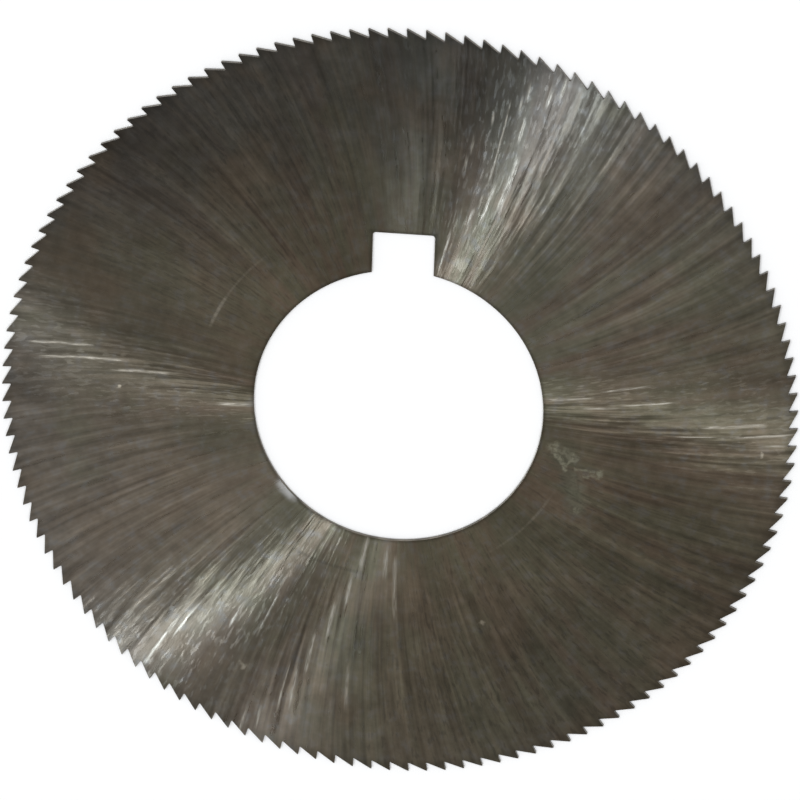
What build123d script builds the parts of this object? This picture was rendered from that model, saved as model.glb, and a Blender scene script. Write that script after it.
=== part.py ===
from build123d import *

import math
import os

# The blade of a slitting saw for metal: one disc of hardened steel with fine teeth, a plain bore
# and a keyway for the arbor's key. It lies flat. All sizes are in millimetres and degrees.
# The bore's axis is +Z, z = 0 is the blade's middle plane, and the keyway points along +Y.

# Disc, ground hollow on both sides so that it doesn't rub in the cut. It is thickest in the ring
# that carries the teeth, and thins evenly inwards to the flat hub, which the arbor's collars grip.
blade_diameter = 69.85
rim_thickness = 0.406
hub_thickness = 0.366
hub_diameter = 38.1
rim_land_width = 2.4

# Teeth. Each has a rake face on its anticlockwise side, which cuts, a narrow land at its tip
# and a straight back that slopes down to the rounded root of the notch behind it. The notch's
# depth is to its sharp corner, before the root is rounded.
tooth_count = 132
notch_depth = 0.83
rake_angle = 5
land_width = 0.1
land_relief_angle = 10
root_radius = 0.08
tip_offset_angle = 0.57

# Bore and keyway. The keyway's depth is from the bore's wall, on the keyway's middle line. The
# sharp edges of both are broken on the blade's two sides.
bore_diameter = 25.4
keyway_width = 5.4
keyway_depth = 3.45
keyway_corner_radius = 0.25
edge_break = 0.05

# Round blank that the teeth are cut in, larger all round than the finished blade
blank_allowance = 1

# What follows from those sizes
half_rim = rim_thickness / 2
half_hub = hub_thickness / 2
hub_radius = hub_diameter / 2
blade_radius = blade_diameter / 2
bore_radius = bore_diameter / 2
blank_radius = blade_radius + blank_allowance
rim_land_radius = blade_radius - notch_depth - rim_land_width
tooth_pitch_angle = 360 / tooth_count
keyway_floor = bore_radius + keyway_depth
keyway_angle = 90

# One tooth, drawn with its tip on +X. Its land and back run clockwise down to the root of the
# notch, and the line then climbs the rake face of the next tooth to that tooth's tip.
tip = Vector(blade_radius, 0)
heel = tip - Vector(land_width * math.tan(math.radians(land_relief_angle)), land_width)
rake_foot = tip - Vector(notch_depth, notch_depth * math.tan(math.radians(rake_angle)))
next_rake_foot = rake_foot.rotate(Axis.Z, -tooth_pitch_angle)
next_tip = tip.rotate(Axis.Z, -tooth_pitch_angle)

with BuildLine() as tooth_line:
    Line(tip, heel)
    FilletPolyline(heel, next_rake_foot, next_tip, radius=root_radius)

# The bore with its keyway. The keyway's end is square, with its two inner corners rounded.
with BuildSketch() as bore:
    Rectangle(keyway_width, keyway_floor, align=(Align.CENTER, Align.MIN))
    fillet(bore.vertices().group_by(Axis.Y)[-1], radius=keyway_corner_radius)
    Circle(bore_radius)

with BuildPart() as blade:
    # Ground section, revolved round the axis into a solid blank
    with BuildSketch(Plane.XZ) as section:
        with BuildLine():
            upper_side = Polyline(
                (0, half_hub),
                (hub_radius, half_hub),
                (rim_land_radius, half_rim),
                (blank_radius, half_rim),
            )
            mirror(about=Plane.XZ)
            Line(upper_side @ 0, (0, -half_hub))
            Line(upper_side @ 1, (blank_radius, -half_rim))
        make_face()
    revolve(axis=Axis.Z)

    # Ring of teeth, cut in the blank's rim
    with BuildSketch(Plane.XY.offset(-half_rim)) as outline:
        with BuildLine():
            with PolarLocations(0, tooth_count, start_angle=keyway_angle + tip_offset_angle):
                add(tooth_line.line)
        make_face()
    extrude(amount=rim_thickness, mode=Mode.INTERSECT)

    # Bore and keyway, with their broken edges
    extrude(bore.sketch, amount=half_rim, both=True, mode=Mode.SUBTRACT)
    chamfer(blade.edges(Select.LAST).filter_by(Plane.XY), length=edge_break)

blade.part.label = "saw_blade"

os.makedirs("parts", exist_ok=True)
export_step(blade.part, "parts/saw_blade.step")
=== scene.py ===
import math

import bmesh
import bpy
from mathutils import Matrix, Vector


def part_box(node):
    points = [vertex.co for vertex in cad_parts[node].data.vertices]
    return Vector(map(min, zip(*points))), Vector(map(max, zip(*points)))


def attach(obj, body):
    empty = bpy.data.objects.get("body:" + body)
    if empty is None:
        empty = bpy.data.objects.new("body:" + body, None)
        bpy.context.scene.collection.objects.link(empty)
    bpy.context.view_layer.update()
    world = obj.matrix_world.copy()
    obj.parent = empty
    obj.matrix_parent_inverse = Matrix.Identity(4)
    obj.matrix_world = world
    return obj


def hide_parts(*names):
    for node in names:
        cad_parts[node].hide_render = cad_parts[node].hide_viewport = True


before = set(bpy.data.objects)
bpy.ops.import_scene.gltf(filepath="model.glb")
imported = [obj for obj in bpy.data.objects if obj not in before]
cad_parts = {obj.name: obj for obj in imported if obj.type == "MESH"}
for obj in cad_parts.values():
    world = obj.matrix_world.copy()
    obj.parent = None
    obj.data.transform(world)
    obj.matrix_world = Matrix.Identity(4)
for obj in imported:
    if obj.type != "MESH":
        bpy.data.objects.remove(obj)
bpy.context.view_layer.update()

# The blade's body: one disc of hardened high-speed steel with 132 teeth milled round its rim.
# Both sides are ground hollow, from the thick ring under the teeth down to a flat hub, and the
# keyway is broached out of the plain bore. The sharp edges of bore and keyway are broken.
# All sizes here are in metres, and angles run anticlockwise from +X, seen from above.
blade_low, blade_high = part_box("saw_blade")
blade_radius = 0.034925
half_rim = blade_high.z
half_hub = 0.000183
hub_radius = 0.01905
rim_land_radius = 0.031695

tooth_count = 132
notch_depth = 0.00083
rake_angle = math.radians(5)
land_width = 0.0001
land_relief_angle = math.radians(10)
root_radius = 0.00008
first_tip_angle = math.radians(90.57)

bore_radius = 0.0127
keyway_width = 0.0054
half_keyway = keyway_width / 2
keyway_floor = 0.01615
keyway_corner_radius = 0.00025
edge_break = 0.00005

tooth_pitch = math.tau / tooth_count
steps_in_tooth = 4
steps_in_bore = 360
same_point = 1e-7


def at_angle(radius, angle, height=half_rim):
    """Point at that distance from the bore's axis, in that direction and at that height."""
    return Vector((radius * math.cos(angle), radius * math.sin(angle), height))


def free_edges(mesh):
    """Edges with one face only, where the surface ends."""
    return [edge for edge in mesh.edges if len(edge.link_faces) == 1]


def on_circle(edge, circle_radius):
    """Whether both ends of an edge are that far from the bore's axis."""
    return all(abs(vert.co.xy.length - circle_radius) < 10 * same_point for vert in edge.verts)


blade_mesh = bmesh.new()

# One tooth's length of the upper side, from the heel of one tooth's land to the next one's. Its
# outer line runs down the tooth's back to the root of the notch, and up the next rake face.
tip = Vector((blade_radius, 0, half_rim))
heel = tip - Vector((land_width * math.tan(land_relief_angle), land_width, 0))
rake_foot = tip - Vector((notch_depth, notch_depth * math.tan(rake_angle), 0))
to_next_tooth = Matrix.Rotation(-tooth_pitch, 3, "Z")
heel_angle = math.atan2(heel.y, heel.x)
outline = [heel, to_next_tooth @ rake_foot, to_next_tooth @ tip, to_next_tooth @ heel]
for step in range(steps_in_tooth + 1):
    turned_back = tooth_pitch * (1 - step / steps_in_tooth)
    outline.append(at_angle(rim_land_radius, heel_angle - turned_back))
corners = [blade_mesh.verts.new(point) for point in outline]
blade_mesh.faces.new(corners)
between_back_and_rake = math.pi - (outline[0] - outline[1]).angle(outline[2] - outline[1])
bmesh.ops.bevel(
    blade_mesh,
    geom=[corners[1]],
    offset=root_radius * math.tan(between_back_and_rake / 2),
    offset_type="OFFSET",
    affect="VERTICES",
    segments=5,
    profile=0.5,
    material=-1,
)
bmesh.ops.rotate(
    blade_mesh,
    verts=blade_mesh.verts[:],
    cent=(0, 0, 0),
    matrix=Matrix.Rotation(first_tip_angle, 3, "Z"),
)
bmesh.ops.spin(
    blade_mesh,
    geom=blade_mesh.verts[:] + blade_mesh.edges[:] + blade_mesh.faces[:],
    cent=(0, 0, 0),
    axis=(0, 0, 1),
    angle=math.tau - tooth_pitch,
    steps=tooth_count - 1,
    use_duplicate=True,
)
bmesh.ops.remove_doubles(blade_mesh, verts=blade_mesh.verts[:], dist=same_point)

# The hollow-ground web, drawn in from the ring of teeth to the hub
inner_rim = [edge for edge in free_edges(blade_mesh) if on_circle(edge, rim_land_radius)]
web = bmesh.ops.extrude_edge_only(blade_mesh, edges=inner_rim)
for vert in [item for item in web["geom"] if isinstance(item, bmesh.types.BMVert)]:
    vert.co.xy *= hub_radius / rim_land_radius
    vert.co.z = half_hub

# The hub, filled in between the web and the outline of bore and keyway
mouth = Vector((half_keyway, math.sqrt(bore_radius**2 - half_keyway**2), half_hub))
mouth_angle = math.atan2(mouth.x, mouth.y)
mouth_vert = blade_mesh.verts.new(mouth)
bore_arc = bmesh.ops.spin(
    blade_mesh,
    geom=[mouth_vert],
    cent=(0, 0, 0),
    axis=(0, 0, -1),
    angle=math.tau - 2 * mouth_angle,
    steps=steps_in_bore,
)
far_mouth_vert = bore_arc["geom_last"][0]
floor_corners = [(x, keyway_floor, half_hub) for x in (-half_keyway, half_keyway)]
floor_verts = [blade_mesh.verts.new(corner) for corner in floor_corners]
keyway_verts = [far_mouth_vert, *floor_verts, mouth_vert]
for pair in zip(keyway_verts, keyway_verts[1:]):
    blade_mesh.edges.new(pair)
bmesh.ops.bevel(
    blade_mesh,
    geom=floor_verts,
    offset=keyway_corner_radius,
    offset_type="OFFSET",
    affect="VERTICES",
    segments=6,
    profile=0.5,
    material=-1,
)
hub_outline = [edge for edge in free_edges(blade_mesh) if on_circle(edge, hub_radius)]
hub_outline += [edge for edge in blade_mesh.edges if not edge.link_faces]
bmesh.ops.triangle_fill(blade_mesh, use_beauty=True, edges=hub_outline, normal=(0, 0, 1))

# The lower side, and the walls between the two sides
upper_rims = free_edges(blade_mesh)
walls = bmesh.ops.extrude_edge_only(blade_mesh, edges=upper_rims)
for vert in [item for item in walls["geom"] if isinstance(item, bmesh.types.BMVert)]:
    vert.co.z *= -1
upper_side = [face for face in blade_mesh.faces if all(vert.co.z > 0 for vert in face.verts)]
lower_side = bmesh.ops.duplicate(blade_mesh, geom=upper_side)
for vert in [item for item in lower_side["geom"] if isinstance(item, bmesh.types.BMVert)]:
    vert.co.z *= -1
bmesh.ops.remove_doubles(blade_mesh, verts=blade_mesh.verts[:], dist=same_point)
bmesh.ops.recalc_face_normals(blade_mesh, faces=blade_mesh.faces[:])

# The broken edges of bore and keyway, which are the sharp level edges inside the hub
sharp_angle = math.radians(45)
bore_edges = []
for edge in blade_mesh.edges:
    level = abs(edge.verts[0].co.z - edge.verts[1].co.z) < same_point
    in_the_hub = all(vert.co.xy.length < hub_radius - same_point for vert in edge.verts)
    if level and in_the_hub and edge.calc_face_angle(0) > sharp_angle:
        bore_edges.append(edge)
bmesh.ops.bevel(
    blade_mesh,
    geom=bore_edges,
    offset=edge_break,
    offset_type="OFFSET",
    affect="EDGES",
    segments=2,
    profile=0.5,
    material=-1,
)

# Ground sides take the first material, and all that is cut across the disc takes the second.
# The line between the two stays crisp, so that the sides shine as the flat faces that they are.
level_normal = 0.99
crisp_angle = math.radians(30)
for face in blade_mesh.faces:
    face.smooth = True
    face.material_index = 0 if abs(face.normal.z) > level_normal else 1
for edge in blade_mesh.edges:
    edge.smooth = edge.calc_face_angle(0) < crisp_angle
    if len({face.material_index for face in edge.link_faces}) > 1:
        edge.smooth = False

blade_data = bpy.data.meshes.new("ground_blade")
blade_mesh.to_mesh(blade_data)
blade_mesh.free()
blade = bpy.data.objects.new("ground_blade", blade_data)
bpy.context.scene.collection.objects.link(blade)
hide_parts("saw_blade")
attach(blade, "root")

# Ground sides. A cup wheel sweeps each mark from the bore to the rim, so the marks start out
# nearly straight from the axis and bend aside as they go. The steel is dark, with brown, olive and
# blue-grey stain in streaks along the marks, and it shines only across them.
wheel_radius = 0.087
radial_mark_radius = 0.0157
wheel_centre_distance = math.hypot(wheel_radius, radial_mark_radius)
wheel_centre_angle = math.atan2(wheel_radius, radial_mark_radius)


class Nodes:
    """Short names for the shader nodes of one material or node group."""

    def __init__(self, tree):
        self.tree = tree
        self.tree.nodes.clear()

    def add(self, kind, sockets=None, **settings):
        node = self.tree.nodes.new(kind)
        for name, value in settings.items():
            setattr(node, name, value)
        for name, value in (sockets or {}).items():
            self.plug(node.inputs[name], value)
        return node

    def plug(self, socket, value):
        if isinstance(value, bpy.types.NodeSocket):
            self.tree.links.new(value, socket)
        else:
            socket.default_value = value

    def math(self, operation, a, b=0.0, c=0.0):
        return self.add("ShaderNodeMath", {0: a, 1: b, 2: c}, operation=operation).outputs[0]

    def vector(self, operation, a, b=(0, 0, 0), scale=1.0):
        sockets = {0: a, "Scale": scale} if operation == "SCALE" else {0: a, 1: b}
        node = self.add("ShaderNodeVectorMath", sockets, operation=operation)
        gives_number = operation in ("LENGTH", "DOT_PRODUCT", "DISTANCE")
        return node.outputs["Value" if gives_number else "Vector"]

    def turned(self, vector, angle):
        sockets = {"Vector": vector, "Angle": angle}
        return self.add("ShaderNodeVectorRotate", sockets, rotation_type="Z_AXIS").outputs[0]

    def ramp(self, value, low, high, to_low=0.0, to_high=1.0, smooth=True):
        sockets = {"Value": value, "From Min": low, "From Max": high}
        sockets.update({"To Min": to_low, "To Max": to_high})
        kind = "SMOOTHSTEP" if smooth else "LINEAR"
        return self.add("ShaderNodeMapRange", sockets, interpolation_type=kind).outputs[0]

    def swing(self, noise, low, high):
        """Number that swings evenly between two limits as a noise rises and falls."""
        return self.ramp(noise, 0.25, 0.75, low, high, smooth=False)

    def noise(self, vector, scale, detail=2.0, roughness=0.5):
        sockets = {"Vector": vector, "Scale": scale, "Detail": detail, "Roughness": roughness}
        return self.add("ShaderNodeTexNoise", sockets).outputs[0]

    def grey(self, value):
        return self.add("ShaderNodeCombineColor", {0: value, 1: value, 2: value}).outputs[0]

    def mix(self, share, a, b, blend="MIX"):
        # A Mix node lists its sockets for numbers first, and those for colours from the seventh on
        node = self.add("ShaderNodeMix", data_type="RGBA", blend_type=blend)
        for socket, value in zip((node.inputs[0], node.inputs[6], node.inputs[7]), (share, a, b)):
            self.plug(socket, value)
        return node.outputs[2]

    def sum(self, first, *others):
        for other in others:
            first = self.math("ADD", first, other)
        return first

    def product(self, first, *others):
        for other in others:
            first = self.math("MULTIPLY", first, other)
        return first

    def largest(self, first, *others):
        for other in others:
            first = self.math("MAXIMUM", first, other)
        return first


def new_material(name):
    material = bpy.data.materials.new(name)
    material.use_nodes = True
    return material, Nodes(material.node_tree)


# Old oil and dirt in a cloudy film, as a group that every steel face of the blade uses. It puts
# out how thick the film is, from nothing to Most, where Place is the point and Size one cloud.
old_oil = bpy.data.node_groups.new("old_oil", "ShaderNodeTree")
film = Nodes(old_oil)
for name, kind in (("Place", "Vector"), ("Size", "Float"), ("Most", "Float")):
    old_oil.interface.new_socket(name, in_out="INPUT", socket_type="NodeSocket" + kind)
old_oil.interface.new_socket("Film", in_out="OUTPUT", socket_type="NodeSocketFloat")
film_inputs = film.add("NodeGroupInput").outputs
clouds_in_a_metre = film.math("DIVIDE", 1.0, film_inputs["Size"])
cloud_place = film.vector("SCALE", film_inputs["Place"], scale=clouds_in_a_metre)
clouds = film.ramp(film.noise(cloud_place, 1.0, 4, 0.6), 0.35, 0.7)
film.add("NodeGroupOutput", {"Film": film.math("MULTIPLY", clouds, film_inputs["Most"])})


def oil(nodes, place, size, most):
    """Old oil and dirt on one material, with its own size of cloud."""
    group = nodes.add("ShaderNodeGroup", node_tree=old_oil)
    for name, value in (("Place", place), ("Size", size), ("Most", most)):
        nodes.plug(group.inputs[name], value)
    return group.outputs["Film"]


ground, side = new_material("ground_side")

# Both sides were ground alike, so the lower one is the upper one's mirror image in the keyway's
# plane. Single marks and dirt are on the upper side only.
place = side.add("ShaderNodeTexCoord").outputs["Object"]
up_or_down = side.math("SIGN", side.add("ShaderNodeSeparateXYZ", {"Vector": place}).outputs["Z"])
upper_side_only = side.math("MAXIMUM", up_or_down, 0)
mirror = side.add("ShaderNodeCombineXYZ", {"X": up_or_down, "Y": 1, "Z": 0}).outputs[0]
flat_place = side.vector("MULTIPLY", place, mirror)
radius = side.vector("LENGTH", flat_place)
outward = side.vector("NORMALIZE", flat_place)
radius_squared = side.math("MULTIPLY", radius, radius)

# Which way a mark set out near the bore, and how far it leans here from straight outwards
start_cosine = side.math(
    "DIVIDE",
    side.math("ADD", radius_squared, radial_mark_radius**2),
    side.math("MULTIPLY", radius, 2 * wheel_centre_distance),
)
back_to_start = side.math("SUBTRACT", side.math("ARCCOSINE", start_cosine), wheel_centre_angle)
mark_start = side.turned(outward, back_to_start)
lean_sine = side.math(
    "DIVIDE",
    side.math("SUBTRACT", radius_squared, radial_mark_radius**2),
    side.math("MULTIPLY", radius, 2 * wheel_radius),
)
lean = side.math("ARCSINE", lean_sine)


def streaks(width, length, detail=3):
    """Noise drawn out along the marks: width across them at the rim, and length along them."""
    around = side.vector("SCALE", mark_start, scale=blade_radius / width)
    out = side.add("ShaderNodeCombineXYZ", {"Z": side.math("DIVIDE", radius, length)}).outputs[0]
    return side.noise(side.vector("ADD", around, out), 1.0, detail)


millimetre = 0.001


def soft_edge(away, reach, core=0.2, most=1):
    """Mask that is full within a core, a share of its reach in millimetres, and fades out there."""
    reach *= millimetre
    return side.ramp(away, core * reach, reach, most, 0)


def patch(x, y, reach, most):
    """Broad soft mask with that much at its middle. Its place and reach are in millimetres."""
    away = side.vector("DISTANCE", flat_place, (x * millimetre, y * millimetre, 0))
    return soft_edge(away, reach, 0.3, most)


# Marks of every width, from stained bands down to single scratches
bands = streaks(0.004, 0.02)
wide_marks = streaks(0.0014, 0.007)
marks = streaks(0.0006, 0.0045, 2)
long_marks = streaks(0.0006, 0.03, 2)
fine_marks = streaks(0.0003, 0.0024, 1)
hair_marks = streaks(0.00016, 0.0012, 1)
stray_marks = streaks(0.00034, 0.0011, 1)
mottle = side.noise(flat_place, 900, 2, 0.6)
blotches = side.noise(side.vector("ADD", flat_place, (0.07, 0.03, 0)), 130, 3, 0.55)

# The stain turns from warm to cold towards the rim, most of all past the end of the keyway and on
# the left, and least on the right. It is browner on both sides of the keyway's line than along it,
# with one still browner patch and two olive ones.
xyz = side.add("ShaderNodeSeparateXYZ", {"Vector": flat_place}).outputs
past_keyway = side.ramp(xyz["Y"], 0.3 * blade_radius, 0.85 * blade_radius)
to_the_left = side.vector("DOT_PRODUCT", flat_place, (-0.94, 0.34, 0))
cold = side.sum(
    side.ramp(radius, 0.4 * blade_radius, blade_radius, 0, 0.3, smooth=False),
    side.product(past_keyway, 0.28),
    side.ramp(xyz["X"], 0.3 * blade_radius, 0.85 * blade_radius, 0, -0.22),
    side.ramp(to_the_left, 0.3 * blade_radius, 0.85 * blade_radius, 0, 0.25),
)
brown_steel = (0.196, 0.161, 0.124, 1)
olive_steel = (0.167, 0.166, 0.121, 1)
blue_grey_steel = (0.170, 0.171, 0.170, 1)
to_the_right = side.vector("DOT_PRODUCT", flat_place, (0.94 / blade_radius, 0.34 / blade_radius, 0))
browner = side.sum(
    side.ramp(to_the_right, 0, 1, 0, 0.4, smooth=False),
    side.ramp(to_the_right, 0, -1, 0, 0.85, smooth=False),
)
tint = side.mix(side.ramp(bands, 0.4, 0.6), brown_steel, olive_steel)
tint = side.mix(side.ramp(wide_marks, 0.45, 0.65, to_high=0.6), tint, olive_steel)
tint = side.mix(browner, tint, brown_steel)
tint = side.mix(cold, tint, blue_grey_steel)
tint = side.mix(patch(-24.5, -8.5, 16, 0.45), tint, brown_steel)
tint = side.mix(side.sum(patch(4, -24, 16, 0.4), patch(-25, 7.5, 12, 0.4)), tint, olive_steel)
tint = side.mix(side.ramp(mottle, 0.5, 0.68, to_high=0.5), tint, blue_grey_steel)
tint = side.mix(side.ramp(blotches, 0.5, 0.68, to_high=0.6), tint, brown_steel)
tint = side.mix(side.ramp(blotches, 0.45, 0.3, to_high=0.5), tint, olive_steel)
tint = side.mix(side.ramp(marks, 0.5, 0.7, to_high=0.25), tint, brown_steel)

# How much darker or lighter each mark is than the rest. The hub is finished more finely, so its
# marks are fainter. They are also fainter at the left, and deeper opposite the keyway.
mark_depths = (
    (marks, 0.13),
    (wide_marks, 0.2),
    (fine_marks, 0.03),
    (hair_marks, 0.02),
    (long_marks, 0.24),
)
mark_shade = side.product(*[side.swing(noise, 1 - depth, 1 + depth) for noise, depth in mark_depths])
mark_strength = side.product(
    side.ramp(radius, 0.014, 0.021, 0.3, 1),
    side.sum(1, patch(-3, -25, 14, 0.5), patch(-27, 8.5, 13, -0.5)),
)
mark_shade = side.math("MULTIPLY_ADD", side.math("SUBTRACT", mark_shade, 1), mark_strength, 1.0)
clean = side.math("SUBTRACT", 1.04, oil(side, flat_place, 0.0035, 0.14))

# Broad patches are lighter or darker than the rest, partly painted highlight and painted shade over
# the lamps' fans. Each has its middle and its reach in millimetres, and the share by which it is
# lighter or darker.
lit_and_toned_patches = (
    (16, 26, 10, 0.28),
    (31, -2, 7, 0.2),
    (-4.5, -29.5, 10, 0.15),
    (-9, -31, 6, 0.3),
    (-1, -16, 6, 0.33),
    (15, -6, 6, 0.2),
    (-14, 8.5, 8, 0.18),
    (3, 31, 9, -0.2),
    (-9.5, -14.5, 6, -0.25),
    (-16, -2.5, 7, -0.17),
    (-21, 12, 8, 0.12),
    (-10, 10, 4, 0.18),
    (-21, 23, 10, -0.15),
    (-12.5, -21.5, 5, -0.15),
    (-23.5, 2.5, 6, -0.14),
    (-32.5, 2, 5, -0.16),
    (27, -16.5, 7, -0.09),
    (15, -24, 10, -0.1),
    (6.5, -13, 4.5, 0.22),
    (11, 11, 5, -0.15),
)
patch_light_and_tone = side.sum(*[patch(*row) for row in lit_and_toned_patches])

# The blade is darker towards its rim and on the keyway's side. The tips of the teeth are darker still,
# and painted shade darkens the steel beside the edge of bore and keyway.
keyway_side = side.vector("DOT_PRODUCT", flat_place, (-0.035 / blade_radius, -0.1 / blade_radius, 0))
broad_shade = side.sum(
    side.ramp(radius, bore_radius, blade_radius, 1.07, 0.97),
    keyway_side,
    side.product(past_keyway, -0.18),
    patch_light_and_tone,
)
dark_tips = side.ramp(radius, blade_radius - 0.0013, blade_radius - 0.0004, 1, 0.78)
beside_keyway = side.largest(
    side.math("SUBTRACT", side.math("ABSOLUTE", xyz["X"]), half_keyway),
    side.math("SUBTRACT", xyz["Y"], keyway_floor),
    side.math("MULTIPLY", xyz["Y"], -1),
)
from_edge = side.math("MINIMUM", side.math("SUBTRACT", radius, bore_radius), beside_keyway)
# Painted shade beside the edge of bore and keyway
painted_edge_shade = side.ramp(from_edge, 0.00005, 0.0004, 0.62, 1)
mottled = side.swing(mottle, 0.85, 1.15)
shade = side.product(mark_shade, mottled, clean, broad_shade, dark_tips, painted_edge_shade)
colour = side.mix(1.0, tint, side.grey(shade), "MULTIPLY")


def painted_glint_mark(bearing, inner, outer, width):
    """Soft mask of one grinding mark painted bright as a glint, by its bearing in degrees where it
    starts.
    """
    turn = math.radians(bearing)
    aside = side.vector("DISTANCE", mark_start, (math.cos(turn), math.sin(turn), 0))
    across = soft_edge(side.math("MULTIPLY", aside, radius), width, core=0)
    fade = 0.7
    begins = side.ramp(radius, (inner - fade) * millimetre, (inner + fade) * millimetre)
    ends = side.ramp(radius, (outer - fade) * millimetre, (outer + fade) * millimetre, 1, 0)
    return side.product(across, begins, ends)


# Painted glints: single grinding marks painted bright as highlights where the lamps' fans cross them.
# Each has its bearing where it starts, in degrees, then the radii between which it shows and its half
# width, in millimetres.
painted_glint_marks = (
    (6.6, 13.0, 16.8, 0.16),
    (3.5, 16.5, 19.0, 0.18),
    (4.0, 19.8, 23.8, 0.13),
    (8.4, 18.2, 22.0, 0.16),
    (358.3, 26.9, 31.9, 0.24),
    (356.4, 24.7, 27.7, 0.1),
    (356.3, 28.6, 34.4, 0.18),
    (354.6, 32.5, 33.8, 0.16),
    (170.3, 27.6, 32.6, 0.17),
    (172.8, 24.4, 31.5, 0.2),
    (175.0, 20.1, 25.1, 0.17),
    (183.2, 13.1, 15.7, 0.25),
    (66.5, 20.6, 25.4, 0.34),
    (69.0, 29.9, 30.8, 0.16),
    (69.3, 19.0, 22.5, 0.24),
    (70.8, 22.8, 30.0, 0.15),
    (73.1, 28.0, 28.8, 0.2),
    (75.9, 24.9, 26.0, 0.2),
    (76.5, 23.2, 24.1, 0.2),
    (226.9, 29.0, 34.0, 0.26),
    (228.1, 26.0, 30.0, 0.18),
    (241.2, 21.4, 25.4, 0.15),
    (249.1, 26.8, 31.2, 0.15),
    (259.5, 13.0, 16.2, 0.32),
    (267.5, 13.6, 16.2, 0.32),
    (270.6, 14.5, 20.1, 0.3),
    (257.7, 17.0, 19.6, 0.22),
    (255.1, 19.9, 23.0, 0.26),
    (252.4, 23.0, 26.9, 0.22),
    (250.9, 26.7, 30.6, 0.26),
    (260.5, 25.6, 29.4, 0.22),
    (244.2, 32.2, 34.4, 0.22),
    (246.4, 31.6, 33.9, 0.2),
    (235.5, 23.8, 25.9, 0.2),
    (76.3, 13.7, 17.0, 0.16),
    (72.3, 18.2, 19.4, 0.2),
    (67.7, 27.1, 29.2, 0.24),
    (68.3, 31.0, 32.2, 0.2),
    (64.9, 31.3, 32.7, 0.24),
    (63.3, 32.7, 34.0, 0.24),
)
painted_glints = side.largest(*[painted_glint_mark(*row) for row in painted_glint_marks])
painted_glints = side.product(
    painted_glints,
    upper_side_only,
    side.ramp(hair_marks, 0.35, 0.6, 0.25, 1.0),
    side.ramp(fine_marks, 0.3, 0.55, 0.5, 1),
)
# The glints are painted highlight in the colour
glint_colour = (0.56, 0.54, 0.48, 1)
colour = side.mix(painted_glints, colour, glint_colour)

# Short torn marks, which are rough and so glint before the steel beside them does. Their colour is
# also painted a little paler, as a painted glint.
torn = side.ramp(stray_marks, 0.55, 0.66)
torn_glint_grey = (0.5, 0.5, 0.5, 1)
colour = side.mix(side.product(torn, 0.03), colour, torn_glint_grey)

# A collar rubbed a ring round the bore, a little off its middle. It is painted pale at the upper left
# and the lower right, a painted highlight where the ring catches the lamp, each time in a short arc
# within a fainter long one, and painted dark in a third place, a painted shade.
collar_middle = (-0.00095, 0.00064, 0)
collar_radius = 0.01675
from_collar = side.vector("SUBTRACT", flat_place, collar_middle)
off_ring = side.math("SUBTRACT", side.vector("LENGTH", from_collar), collar_radius)
off_ring = side.math("ABSOLUTE", off_ring)


def ring_arc(bearing, half_angle, width):
    """Soft mask of one arc of that ring, with its bearing and its half angle in degrees."""
    turn = math.radians(bearing)
    towards = (math.cos(turn), math.sin(turn), 0)
    facing = side.vector("DOT_PRODUCT", side.vector("NORMALIZE", from_collar), towards)
    low, high = math.cos(math.radians(half_angle)), math.cos(math.radians(half_angle / 3))
    return side.math("MULTIPLY", soft_edge(off_ring, width), side.ramp(facing, low, high))


painted_pale_arcs = side.largest(
    ring_arc(154, 7, 0.22),
    side.product(ring_arc(145, 16, 0.16), 0.32),
    side.product(ring_arc(325, 7, 0.18), 0.4),
    side.product(ring_arc(318, 18, 0.16), 0.25),
)
painted_pale_arcs = side.product(
    painted_pale_arcs,
    side.ramp(marks, 0.35, 0.6, 0.4, 1),
    side.ramp(hair_marks, 0.3, 0.6, 0.6, 1),
    upper_side_only,
)
painted_dark_arc = side.product(ring_arc(252, 15, 0.24), 0.3, upper_side_only)
arc_highlight_colour = (0.48, 0.46, 0.40, 1)
arc_shade_colour = (0.07, 0.065, 0.055, 1)
# Painted highlight on the pale arcs, and painted shade on the dark one
colour = side.mix(painted_pale_arcs, colour, arc_highlight_colour)
colour = side.mix(painted_dark_arc, colour, arc_shade_colour)

# Dried residue that ran from the bore: a branched greenish smudge in a stained halo, and some
# specks elsewhere. A noise roughens the outlines of all of them.
ragged = side.add("ShaderNodeTexNoise", {"Vector": flat_place, "Scale": 1600, "Detail": 3})
ragged_shift = side.vector("SUBTRACT", ragged.outputs["Color"], (0.5, 0.5, 0.5))
ragged_shift = side.vector("SCALE", ragged_shift, scale=0.0011)
smudged_place = side.vector("ADD", flat_place, side.vector("MULTIPLY", ragged_shift, (1, 1, 0)))


def spot(middle, reach):
    """Soft round mask. Its middle and its reach are in millimetres."""
    middle = Vector((*middle, 0)) * millimetre
    return soft_edge(side.vector("DISTANCE", smudged_place, middle), reach)


def stroke(start, end, reach):
    """Soft mask along the line between two points, all in millimetres."""
    start = Vector((*start, 0)) * millimetre
    along = Vector((*end, 0)) * millimetre - start
    from_start = side.vector("SUBTRACT", smudged_place, start)
    share = side.vector("DOT_PRODUCT", from_start, along / along.length_squared)
    share = side.add("ShaderNodeClamp", {"Value": share}).outputs[0]
    nearest = side.vector("ADD", side.vector("SCALE", along, scale=share), start)
    return soft_edge(side.vector("DISTANCE", smudged_place, nearest), reach)


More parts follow.
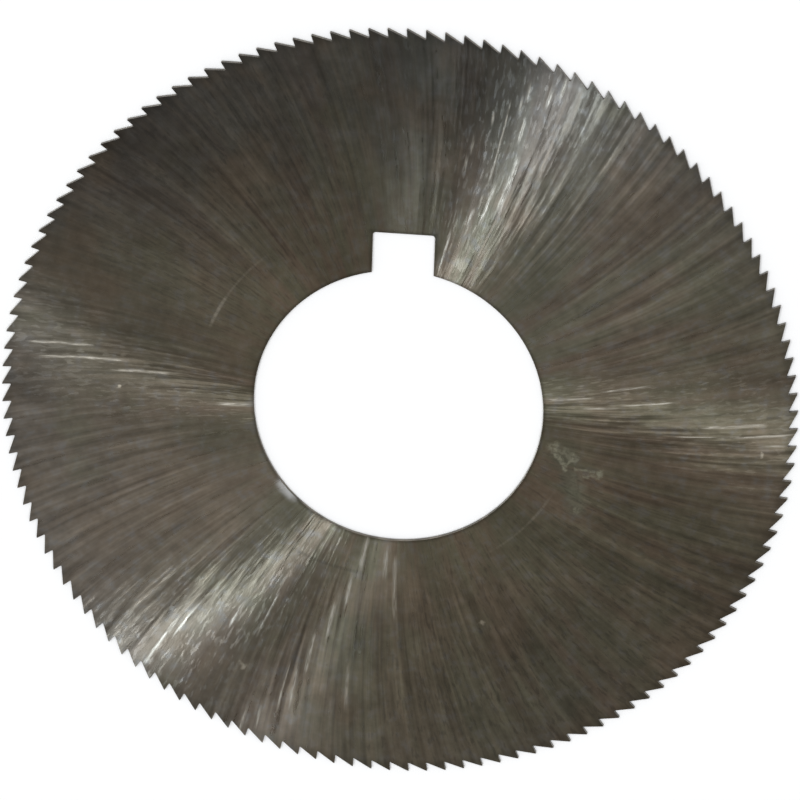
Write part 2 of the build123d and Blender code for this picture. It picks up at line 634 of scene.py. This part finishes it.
residue = side.largest(
    side.product(spot((13.75, -2.95), 0.8), 0.95),
    side.product(stroke((13.8, -3.2), (14.9, -4.75), 0.36), 1.0),
    side.product(stroke((14.5, -3.1), (15.6, -3.85), 0.5), 0.5),
    side.product(stroke((15.0, -4.3), (15.6, -3.7), 0.25), 0.8),
    side.product(stroke((15.8, -4.8), (17.3, -4.9), 0.28), 0.7),
    side.product(stroke((16.6, -5.4), (17.7, -5.3), 0.26), 0.6),
    spot((17.86, -5.08), 0.48),
    side.product(stroke((15.9, -5.8), (16.0, -8.2), 1.3), 0.22),
    side.product(spot((15.93, -8.64), 0.55), 0.7),
)
crusted = side.ramp(side.noise(flat_place, 2600, 2), 0.36, 0.56, 0.3, 1)
residue = side.product(residue, side.swing(mottle, 0.5, 1.2), crusted, upper_side_only)
halo = side.largest(spot((14.7, -3.9), 1.9), stroke((15.2, -5.6), (15.9, -8.4), 1.4))
green_stain = (0.175, 0.192, 0.155, 1)
dried_oil = (0.58, 0.59, 0.47, 1)
colour = side.mix(side.product(halo, 0.6, upper_side_only), colour, green_stain)
colour = side.mix(residue, colour, dried_oil)
specks = side.largest(
    spot((8.05, -19.95), 0.4),
    spot((-13.02, -25.77), 0.5),
    spot((-24.62, 0.15), 0.3),
    spot((31.95, -2.26), 0.3),
    side.product(spot((4.97, 13.63), 0.9), 0.3),
)
pale_dirt = (0.45, 0.42, 0.35, 1)
colour = side.mix(side.product(specks, upper_side_only), colour, pale_dirt)

# A painted highlight on the steel beside the bore, in one place
painted_edge_highlight = side.product(
    spot((-9.5, -8.5), 1.7),
    side.ramp(from_edge, 0.0002, 0.001, 1, 0),
    upper_side_only,
)
edge_highlight_colour = (0.62, 0.62, 0.62, 1)
colour = side.mix(painted_edge_highlight, colour, edge_highlight_colour)

# Each mark shines in its own direction, a few degrees off its neighbours', but for one patch at
# the left where they nearly agree
turn_aside = side.sum(
    side.swing(marks, -0.06, 0.06),
    side.swing(long_marks, -0.055, 0.055),
    side.swing(fine_marks, -0.03, 0.03),
)
turn_aside = side.product(turn_aside, side.sum(1, patch(-27, 8.5, 14, -0.85)))
across_marks = side.turned(outward, side.sum(lean, turn_aside, math.pi / 2))
across_marks = side.vector("MULTIPLY", across_marks, mirror)

# The marks' own relief tips the light aside, and rough marks spread it more than fine ones
relief = side.sum(fine_marks, side.product(hair_marks, 0.1), side.product(marks, 2))
relief_depth = 0.000003
marks_normal = side.add("ShaderNodeBump", {"Distance": relief_depth, "Height": relief}).outputs[0]
least_roughness = 0.17
roughness = side.sum(
    least_roughness,
    side.swing(fine_marks, 0.05, 0.09),
    side.swing(marks, 0.02, 0.12),
    side.product(residue, 0.25),
    side.product(torn, 0.17),
)

surface = side.add(
    "ShaderNodeBsdfPrincipled",
    {
        "Base Color": colour,
        "Metallic": 1.0,
        "Roughness": roughness,
        "Anisotropic": 1.0,
        "Tangent": across_marks,
        "Normal": marks_normal,
    },
)
side.add("ShaderNodeOutputMaterial", {"Surface": surface.outputs[0]})

# Cut edges: the broached bore and keyway, the milled notches and the broken corners. They are
# bare steel with fine marks across the disc's thickness, darkened by old oil.
cut, cut_side = new_material("cut_edge")
cut_place = cut_side.add("ShaderNodeTexCoord").outputs["Object"]
cut_marks = cut_side.noise(cut_side.vector("MULTIPLY", cut_place, (1, 1, 0.15)), 9000, 3)
milled_steel = (0.20, 0.18, 0.15, 1)
oily_steel = (0.10, 0.09, 0.075, 1)
cut_colour = cut_side.mix(oil(cut_side, cut_place, 0.0014, 1.0), milled_steel, oily_steel)
cut_depth = 0.000003
cut_normal = cut_side.add("ShaderNodeBump", {"Distance": cut_depth, "Height": cut_marks}).outputs[0]
cut_surface = cut_side.add(
    "ShaderNodeBsdfPrincipled",
    {
        "Base Color": cut_colour,
        "Metallic": 1.0,
        "Roughness": cut_side.ramp(cut_marks, 0.3, 0.7, 0.3, 0.48),
        "Normal": cut_normal,
    },
)
cut_side.add("ShaderNodeOutputMaterial", {"Surface": cut_surface.outputs[0]})
blade_data.materials.append(ground)
blade_data.materials.append(cut)

# The floor: a wide sheet of white painted board that the blade lies flat on.
floor_size = 8
floor_mesh = bmesh.new()
bmesh.ops.create_grid(floor_mesh, x_segments=2, y_segments=2, size=floor_size / 2)
bmesh.ops.translate(floor_mesh, verts=floor_mesh.verts[:], vec=(0, 0, blade_low.z))
floor_data = bpy.data.meshes.new("floor")
floor_mesh.to_mesh(floor_data)
floor_mesh.free()
floor = bpy.data.objects.new("floor", floor_data)
bpy.context.scene.collection.objects.link(floor)
white_paint, board = new_material("white_paint")
board_place = board.add("ShaderNodeTexCoord").outputs["Object"]
board_grain = board.noise(board_place, 900, 3)
board_tone = board.swing(board.noise(board_place, 12, 2), 0.89, 0.91)
grain_depth = 0.000003
board_normal = board.add("ShaderNodeBump", {"Distance": grain_depth, "Height": board_grain}).outputs[0]
board_surface = board.add(
    "ShaderNodeBsdfPrincipled",
    {
        "Base Color": board.grey(board_tone),
        "Roughness": board.swing(board_grain, 0.75, 0.9),
        "Normal": board_normal,
    },
)
board.add("ShaderNodeOutputMaterial", {"Surface": board_surface.outputs[0]})
floor_data.materials.append(white_paint)

# Studio light. The ground marks shine only where a lamp stands square across them, so each of the
# narrow lamps draws fans of light on the blade, and a broad one fills in between. They light the
# blade alone, and a wide lamp overhead lights the floor alone, so that it stays plain and pale.
room = bpy.data.worlds.new("room")
bpy.context.scene.world = room
room.use_nodes = True
room_light = room.node_tree.nodes["Background"]
room_light.inputs["Color"].default_value = (1.07, 1, 0.915, 1)
room_light.inputs["Strength"].default_value = 0.37
cool_light = (0.91, 1, 1.08)
neutral_light = (1, 1, 1)
plain_light = (0.96, 1, 1.05)


def lamp(name, bearing, elevation, distance, width, height, strength, colour, lit):
    """Soft box that faces the bore and lights one object, as strongly at any distance."""
    light = bpy.data.lights.new(name, "AREA")
    light.shape = "RECTANGLE"
    light.size = width
    light.size_y = height
    light.energy = strength * math.pi * distance**2
    light.color = colour
    box = bpy.data.objects.new(name, light)
    turn, rise = math.radians(bearing), math.radians(elevation)
    towards = at_angle(math.cos(rise), turn, math.sin(rise))
    box.location = towards * distance
    box.rotation_mode = "QUATERNION"
    box.rotation_quaternion = towards.to_track_quat("Z", "Y")
    box.visible_camera = False
    box.light_linking.receiver_collection = bpy.data.collections.new(name + "_lights")
    box.light_linking.receiver_collection.objects.link(lit)
    bpy.context.scene.collection.objects.link(box)


# Each has its bearing and its height over the floor in degrees, its distance and size in metres,
# and its strength
lamp("main_fan", 179.6, 25.4, 0.263, 0.008, 0.07, 2.63, cool_light, blade)
lamp("broad_fill", 160, 62, 1.02, 0.7, 0.35, 0.45, cool_light, blade)
lamp("side_fan", 104.3, 50, 1.2, 0.12, 0.3, 0.75, neutral_light, blade)
lamp("low_fan", 201.9, 24, 0.472, 0.03, 0.14, 0.42, cool_light, blade)
lamp("floor_light", 90, 80, 3, 3, 3, 3.2, plain_light, floor)

# Camera: a long lens, high over the keyway's side. The side of the blade that is nearer to it is
# at the picture's top.
camera_data = bpy.data.cameras.new("camera")
camera_data.sensor_width = 36
camera_data.lens = 380.87
camera_data.clip_start = 0.01
camera_data.clip_end = 20
camera = bpy.data.objects.new("camera", camera_data)
bpy.context.scene.collection.objects.link(camera)
camera_place = Vector((0.060230, 0.280581, 0.681466))
aim = Vector((0.000125, 0.000553, 0))
picture_up = Vector((-0.06667, 0.92495, -0.37420))
backwards = (camera_place - aim).normalized()
rightwards = picture_up.cross(backwards).normalized()
upwards = backwards.cross(rightwards)
camera_axes = Matrix((rightwards, upwards, backwards)).transposed().to_4x4()
camera.matrix_world = Matrix.Translation(camera_place) @ camera_axes
bpy.context.scene.camera = camera
bpy.context.scene.view_settings.view_transform = "Standard"
